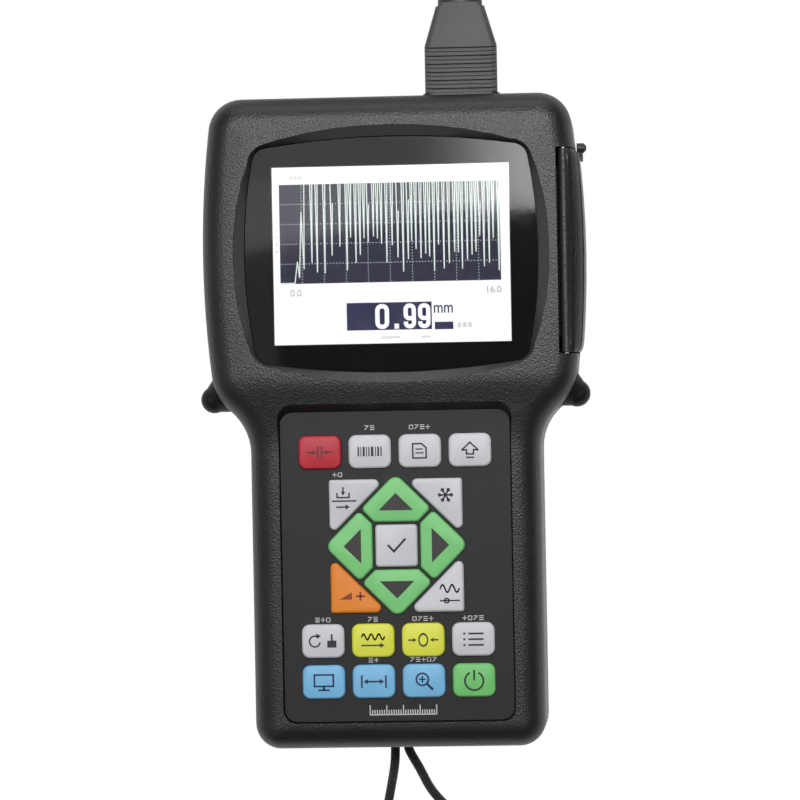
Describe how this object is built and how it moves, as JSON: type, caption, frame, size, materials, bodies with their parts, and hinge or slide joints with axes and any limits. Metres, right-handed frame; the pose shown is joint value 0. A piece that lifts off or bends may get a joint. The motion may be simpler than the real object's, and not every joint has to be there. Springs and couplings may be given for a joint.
{
  "type": "ultrasonic thickness gauge",
  "caption": "Handheld ultrasonic thickness gauge with a wide display head, a narrower keypad handle, a hinged port door, strap posts and a plugged-in probe on a coiled cable.",
  "frame": {"origin": "middle of the instrument's box at the level of its back, without the cords", "axes": "+X across the body, +Y towards the probe sockets, +Z out of the display"},
  "size_m": [0.125, 0.3977, 0.046],
  "materials": {
    "shell": "fine leather grain",
    "post": "smooth moulded",
    "seal": "moulded",
    "steel": "turned",
    "window": "polished, dark border",
    "screen": "lit panel",
    "panel": "fine satin",
    "mat": "moulded",
    "board": "solder mask",
    "battery": "shrink film",
    "plated": "nickel plate",
    "jack": "moulded",
    "braid": "tight braid",
    "plug": "fine satin",
    "brass": "plated",
    "cable": "satin jacket",
    "tie": "hook and loop",
    "probe": "turned stainless",
    "wear": "lapped face",
    "key_white": "satin",
    "key_red": "satin",
    "key_green": "satin",
    "key_orange": "satin",
    "key_yellow": "satin",
    "key_blue": "satin"
  },
  "bodies": {
    "chassis": {"front_housing": "shell", "rear_housing": "shell", "battery_cover": "shell", "strap_post_left": "post", "strap_post_right": "post", "strap_anchor": "post", "housing_seal": "seal", "window_seal": "seal", "door_seal": "seal", "housing_screws": "steel", "cover_screws": "steel", "door_hinge_pin": "steel", "display_window": "window", "lcd_module": "screen", "keypad_panel": "panel", "key_mat": "mat", "keypad_board": "board", "main_board": "board", "port_board": "board", "battery_pack": "battery", "usb_socket": "plated", "card_slot": "plated", "probe_socket_1": "plated", "probe_socket_2": "plated", "power_jack": "jack", "strap_cord": "braid", "probe_plug": "plug", "plug_pins": "brass", "bend_relief": "cable", "probe_cable": "cable", "cable_coil": "cable", "probe_lead": "cable", "coil_tie": "tie", "probe_body": "probe", "probe_face": "wear"},
    "door": {"side_door": "shell"},
    "key_row1_1_body": {"key_row1_1": "key_red"},
    "key_row1_2_body": {"key_row1_2": "key_white"},
    "key_row1_3_body": {"key_row1_3": "key_white"},
    "key_row1_4_body": {"key_row1_4": "key_white"},
    "key_row2_1_body": {"key_row2_1": "key_white"},
    "key_row2_2_body": {"key_row2_2": "key_yellow"},
    "key_row2_3_body": {"key_row2_3": "key_yellow"},
    "key_row2_4_body": {"key_row2_4": "key_white"},
    "key_row3_1_body": {"key_row3_1": "key_blue"},
    "key_row3_2_body": {"key_row3_2": "key_blue"},
    "key_row3_3_body": {"key_row3_3": "key_blue"},
    "key_row3_4_body": {"key_row3_4": "key_green"},
    "key_up_body": {"key_up": "key_green"},
    "key_left_body": {"key_left": "key_green"},
    "key_down_body": {"key_down": "key_green"},
    "key_right_body": {"key_right": "key_green"},
    "key_corner_1_body": {"key_corner_1": "key_white"},
    "key_corner_2_body": {"key_corner_2": "key_orange"},
    "key_corner_3_body": {"key_corner_3": "key_white"},
    "key_corner_4_body": {"key_corner_4": "key_white"},
    "key_enter_body": {"key_enter": "key_white"}
  },
  "joints": [
    {"name": "key_row1_1_press", "type": "slide", "parent": "chassis", "child": "key_row1_1_body", "axis": [0, 0, -1], "range_m": [0, 0.0007], "stiffness_N_per_m": 1500},
    {"name": "key_row1_2_press", "type": "slide", "parent": "chassis", "child": "key_row1_2_body", "axis": [0, 0, -1], "range_m": [0, 0.0007], "stiffness_N_per_m": 1500},
    {"name": "key_row1_3_press", "type": "slide", "parent": "chassis", "child": "key_row1_3_body", "axis": [0, 0, -1], "range_m": [0, 0.0007], "stiffness_N_per_m": 1500},
    {"name": "key_row1_4_press", "type": "slide", "parent": "chassis", "child": "key_row1_4_body", "axis": [0, 0, -1], "range_m": [0, 0.0007], "stiffness_N_per_m": 1500},
    {"name": "key_row2_1_press", "type": "slide", "parent": "chassis", "child": "key_row2_1_body", "axis": [0, 0, -1], "range_m": [0, 0.0007], "stiffness_N_per_m": 1500},
    {"name": "key_row2_2_press", "type": "slide", "parent": "chassis", "child": "key_row2_2_body", "axis": [0, 0, -1], "range_m": [0, 0.0007], "stiffness_N_per_m": 1500},
    {"name": "key_row2_3_press", "type": "slide", "parent": "chassis", "child": "key_row2_3_body", "axis": [0, 0, -1], "range_m": [0, 0.0007], "stiffness_N_per_m": 1500},
    {"name": "key_row2_4_press", "type": "slide", "parent": "chassis", "child": "key_row2_4_body", "axis": [0, 0, -1], "range_m": [0, 0.0007], "stiffness_N_per_m": 1500},
    {"name": "key_row3_1_press", "type": "slide", "parent": "chassis", "child": "key_row3_1_body", "axis": [0, 0, -1], "range_m": [0, 0.0007], "stiffness_N_per_m": 1500},
    {"name": "key_row3_2_press", "type": "slide", "parent": "chassis", "child": "key_row3_2_body", "axis": [0, 0, -1], "range_m": [0, 0.0007], "stiffness_N_per_m": 1500},
    {"name": "key_row3_3_press", "type": "slide", "parent": "chassis", "child": "key_row3_3_body", "axis": [0, 0, -1], "range_m": [0, 0.0007], "stiffness_N_per_m": 1500},
    {"name": "key_row3_4_press", "type": "slide", "parent": "chassis", "child": "key_row3_4_body", "axis": [0, 0, -1], "range_m": [0, 0.0007], "stiffness_N_per_m": 1500},
    {"name": "key_up_press", "type": "slide", "parent": "chassis", "child": "key_up_body", "axis": [0, 0, -1], "range_m": [0, 0.0007], "stiffness_N_per_m": 1500},
    {"name": "key_left_press", "type": "slide", "parent": "chassis", "child": "key_left_body", "axis": [0, 0, -1], "range_m": [0, 0.0007], "stiffness_N_per_m": 1500},
    {"name": "key_down_press", "type": "slide", "parent": "chassis", "child": "key_down_body", "axis": [0, 0, -1], "range_m": [0, 0.0007], "stiffness_N_per_m": 1500},
    {"name": "key_right_press", "type": "slide", "parent": "chassis", "child": "key_right_body", "axis": [0, 0, -1], "range_m": [0, 0.0007], "stiffness_N_per_m": 1500},
    {"name": "key_corner_1_press", "type": "slide", "parent": "chassis", "child": "key_corner_1_body", "axis": [0, 0, -1], "range_m": [0, 0.0007], "stiffness_N_per_m": 1500},
    {"name": "key_corner_2_press", "type": "slide", "parent": "chassis", "child": "key_corner_2_body", "axis": [0, 0, -1], "range_m": [0, 0.0007], "stiffness_N_per_m": 1500},
    {"name": "key_corner_3_press", "type": "slide", "parent": "chassis", "child": "key_corner_3_body", "axis": [0, 0, -1], "range_m": [0, 0.0007], "stiffness_N_per_m": 1500},
    {"name": "key_corner_4_press", "type": "slide", "parent": "chassis", "child": "key_corner_4_body", "axis": [0, 0, -1], "range_m": [0, 0.0007], "stiffness_N_per_m": 1500},
    {"name": "key_enter_press", "type": "slide", "parent": "chassis", "child": "key_enter_body", "axis": [0, 0, -1], "range_m": [0, 0.0007], "stiffness_N_per_m": 1500},
    {"name": "door_hinge", "type": "hinge", "parent": "chassis", "child": "door", "pos_m": [0.0546, 0.0531, 0.0437], "axis": [0, -1, 0], "range_deg": [0, 100]}
  ]
}
